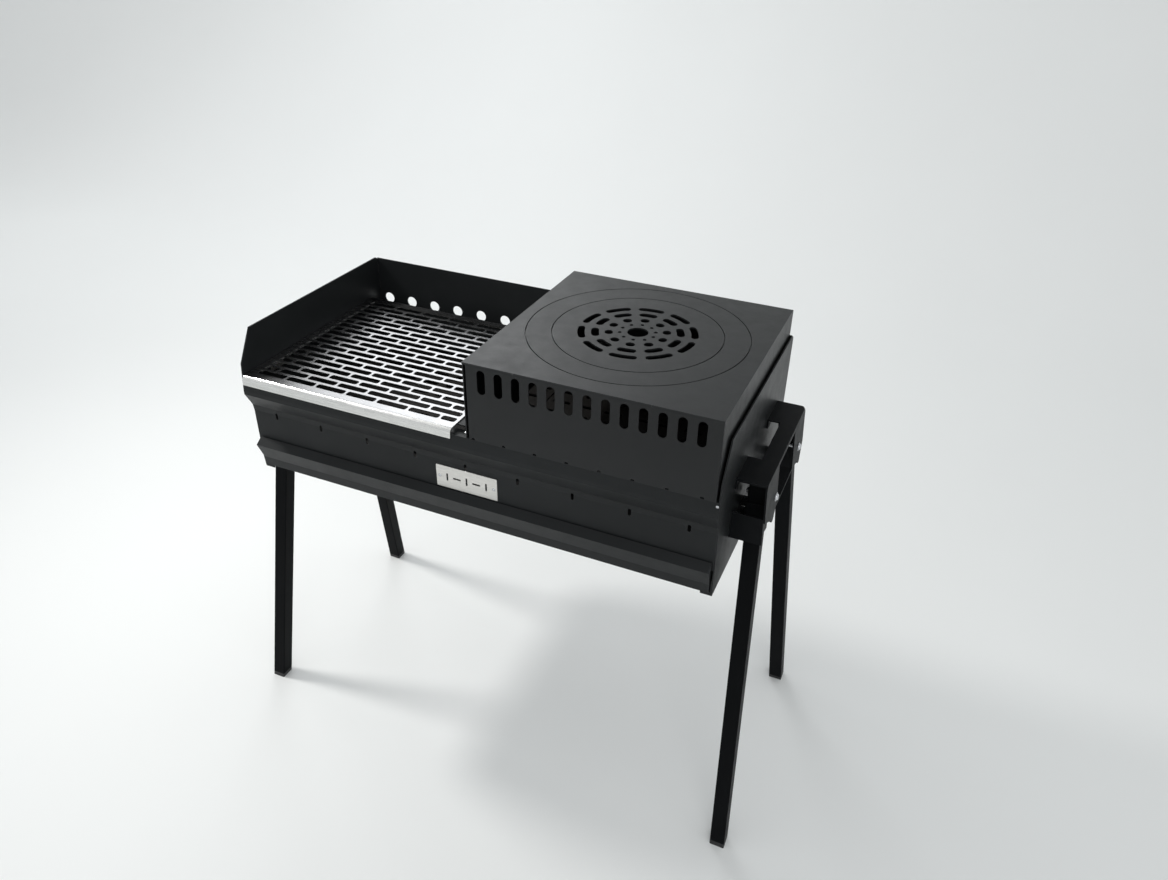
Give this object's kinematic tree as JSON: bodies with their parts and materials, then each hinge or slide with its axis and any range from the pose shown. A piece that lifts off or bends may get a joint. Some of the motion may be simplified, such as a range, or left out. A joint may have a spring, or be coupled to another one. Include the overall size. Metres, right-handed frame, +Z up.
{
  "type": "portable charcoal grill",
  "caption": "Free-standing charcoal grill: black sheet-steel fire box on splayed plug-in legs, slotted steel grate behind a wind guard, lift-off stove box with hob rings, full-width ash drawer.",
  "frame": {"origin": "on the floor, in the middle of the four feet", "axes": "+X to the right along the fire box, +Y to the back, +Z up"},
  "size_m": [0.951, 0.4426, 0.818],
  "materials": {
    "body_black": "fine satin powder coat",
    "bracket_black": "fine satin powder coat",
    "leg_black": "satin powder coat",
    "stove_black": "fine satin powder coat",
    "hob_black": "heat-proof satin coat",
    "coal_grate_black": "heat-proof matt coat",
    "grate_steel": "brushed stainless",
    "nameplate_steel": "brushed stainless",
    "fastener_zinc": "bright zinc plate",
    "foot_plastic": "moulded plastic"
  },
  "bodies": {
    "fire_box": {"end_wall_left": "body_black", "end_wall_right": "body_black", "front_panel": "body_black", "back_panel": "body_black", "grate_rail": "body_black", "stove_rail": "stove_black", "rear_rail": "body_black", "centre_crossbar": "body_black", "crossbar_screws": "fastener_zinc", "coal_rail_front": "body_black", "coal_rail_back": "body_black", "drawer_runner_left": "body_black", "drawer_runner_right": "body_black", "nameplate": "nameplate_steel", "nameplate_rivets": "fastener_zinc", "handle_bracket_left": "bracket_black", "handle_bracket_right": "bracket_black", "leg_socket_front_left": "bracket_black", "leg_socket_front_right": "bracket_black", "leg_socket_back_left": "bracket_black", "leg_socket_back_right": "bracket_black", "clamp_bolts": "fastener_zinc", "clamp_nuts": "fastener_zinc", "bracket_screws": "fastener_zinc"},
    "cooking_grate": {"cooking_grate": "grate_steel", "grate_end_tabs": "grate_steel"},
    "stove_box": {"stove_top": "stove_black", "stove_side_left": "stove_black", "stove_side_right": "stove_black", "stove_ring_seat": "stove_black"},
    "outer_ring": {"outer_ring": "hob_black", "disc_seat": "hob_black"},
    "hob_disc": {"hob_disc": "hob_black"},
    "coal_grate_left": {"coal_grate_left": "coal_grate_black"},
    "coal_grate_right": {"coal_grate_right": "coal_grate_black"},
    "ash_drawer": {"ash_drawer": "body_black", "drawer_end_left": "body_black", "drawer_end_right": "body_black"},
    "leg_front_left": {"leg_front_left": "leg_black", "foot_front_left": "foot_plastic"},
    "leg_front_right": {"leg_front_right": "leg_black", "foot_front_right": "foot_plastic"},
    "leg_back_left": {"leg_back_left": "leg_black", "foot_back_left": "foot_plastic"},
    "leg_back_right": {"leg_back_right": "leg_black", "foot_back_right": "foot_plastic"}
  },
  "joints": [
    {"name": "ash_drawer_slide", "type": "slide", "parent": "fire_box", "child": "ash_drawer", "axis": [0, -1, 0], "range_m": [0, 0.3]},
    {"name": "cooking_grate_lift", "type": "slide", "parent": "fire_box", "child": "cooking_grate", "axis": [0, 0, 1], "range_m": [0, 0.15]},
    {"name": "stove_box_lift", "type": "slide", "parent": "fire_box", "child": "stove_box", "axis": [0, 0, 1], "range_m": [0, 0.2]},
    {"name": "outer_ring_lift", "type": "slide", "parent": "stove_box", "child": "outer_ring", "axis": [0, 0, 1], "range_m": [0, 0.12]},
    {"name": "hob_disc_lift", "type": "slide", "parent": "outer_ring", "child": "hob_disc", "axis": [0, 0, 1], "range_m": [0, 0.12]},
    {"name": "coal_grate_left_lift", "type": "slide", "parent": "fire_box", "child": "coal_grate_left", "axis": [0, 0, 1], "range_m": [0, 0.06]},
    {"name": "coal_grate_right_lift", "type": "slide", "parent": "fire_box", "child": "coal_grate_right", "axis": [0, 0, 1], "range_m": [0, 0.06]},
    {"name": "leg_front_left_pull", "type": "slide", "parent": "fire_box", "child": "leg_front_left", "axis": [-0.057, -0.1805, -0.9819], "range_m": [0, 0.12]},
    {"name": "leg_front_right_pull", "type": "slide", "parent": "fire_box", "child": "leg_front_right", "axis": [0.057, -0.1805, -0.9819], "range_m": [0, 0.12]},
    {"name": "leg_back_left_pull", "type": "slide", "parent": "fire_box", "child": "leg_back_left", "axis": [-0.057, 0.1805, -0.9819], "range_m": [0, 0.12]},
    {"name": "leg_back_right_pull", "type": "slide", "parent": "fire_box", "child": "leg_back_right", "axis": [0.057, 0.1805, -0.9819], "range_m": [0, 0.12]}
  ]
}
